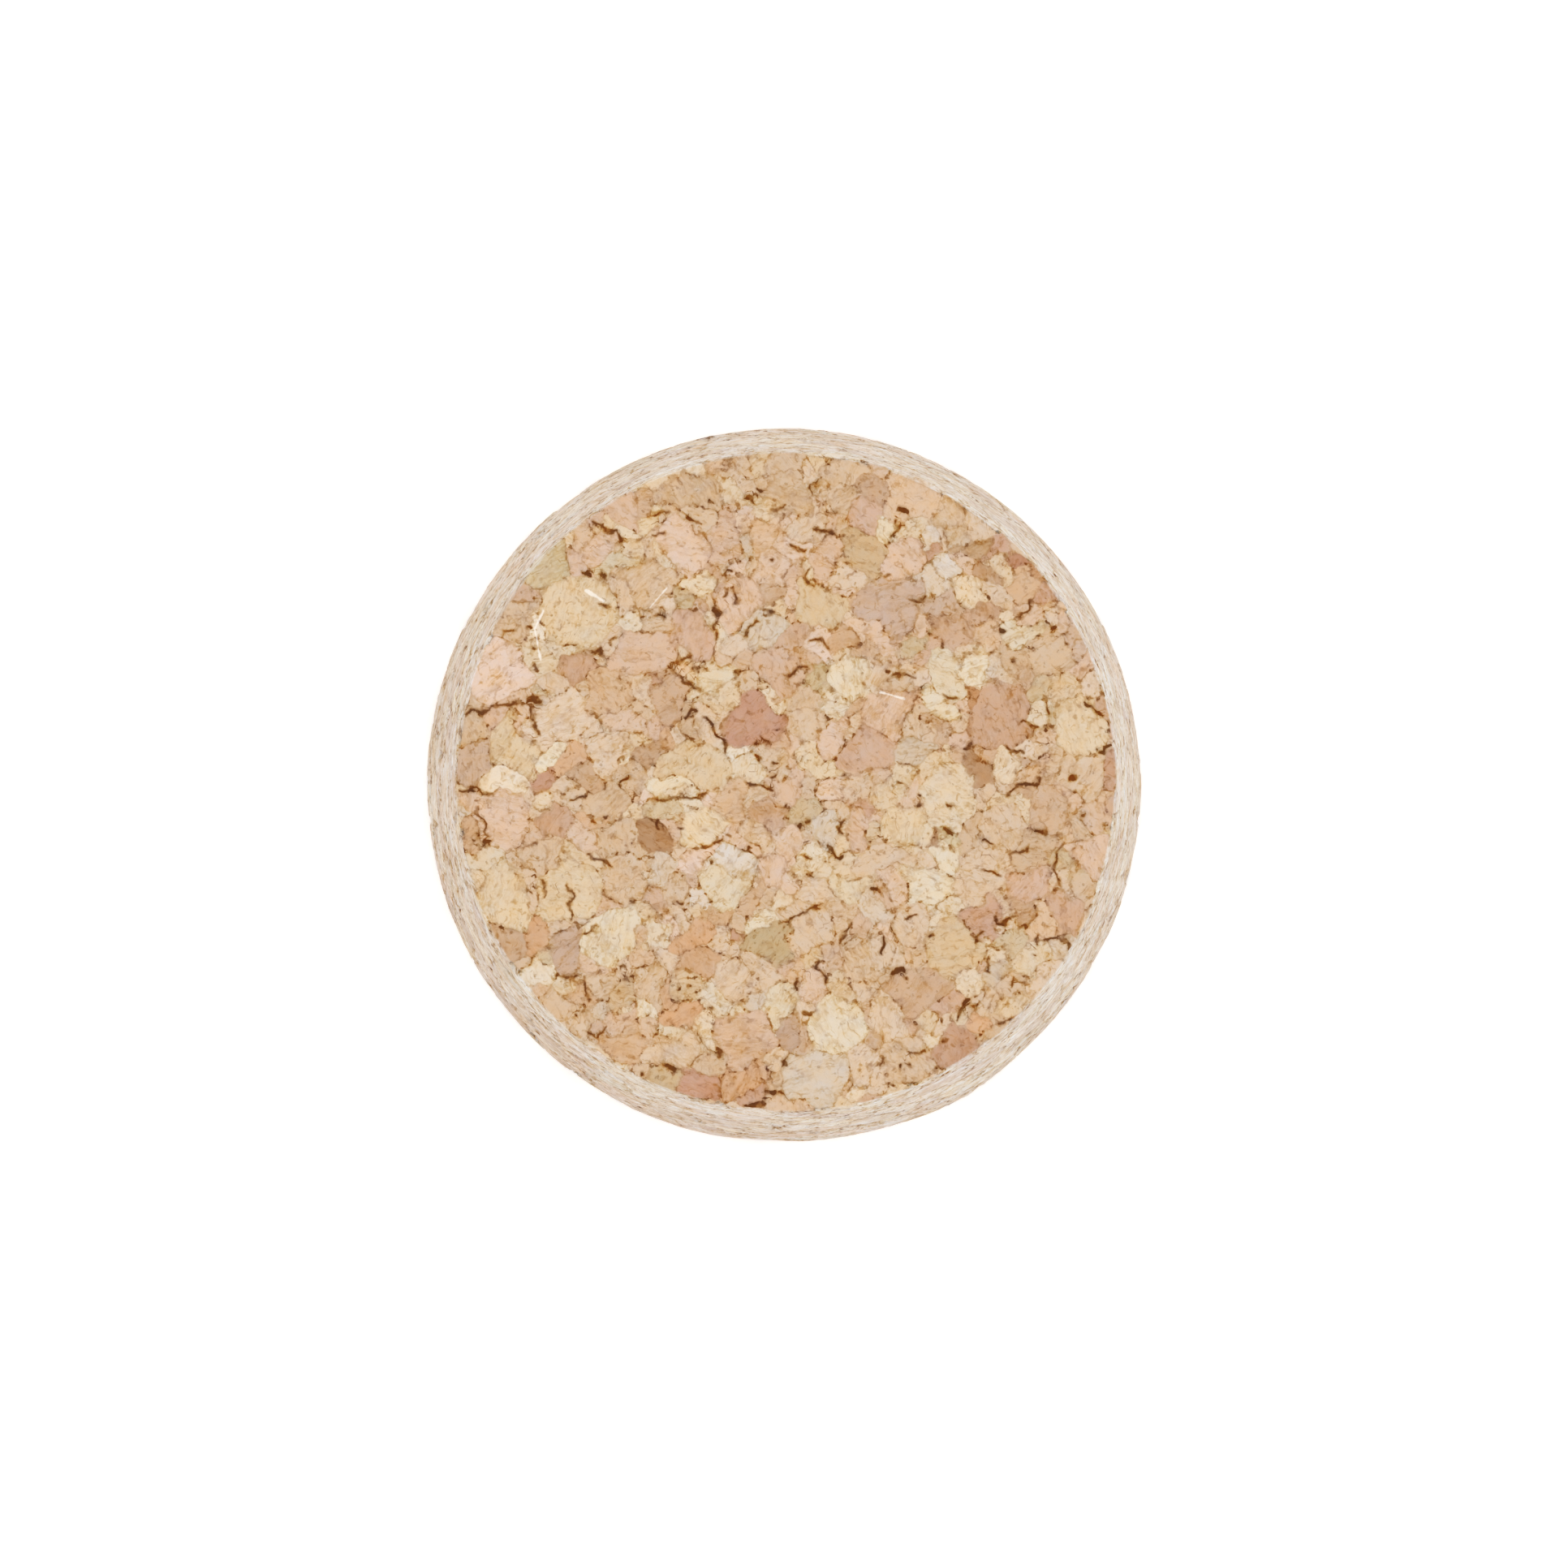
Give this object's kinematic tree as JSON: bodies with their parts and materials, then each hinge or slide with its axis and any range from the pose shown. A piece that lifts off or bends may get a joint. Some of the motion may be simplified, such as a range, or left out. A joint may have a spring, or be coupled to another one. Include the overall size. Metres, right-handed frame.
{
  "type": "cork stopper",
  "caption": "Tapered round stopper of pressed granulated cork that wedges into the neck of a jar or flask.",
  "frame": {"origin": "centre of the wide end face, which the stopper stands on", "axes": "+Z along the stopper's axis from the wide end to the narrow end; +X and +Y across it"},
  "size_m": [0.0498, 0.0498, 0.02],
  "materials": {
    "cork": "ground agglomerated cork, matt, warm tan granules with fine dark gaps between them"
  },
  "bodies": {
    "root": {"stopper": "cork"}
  },
  "joints": []
}
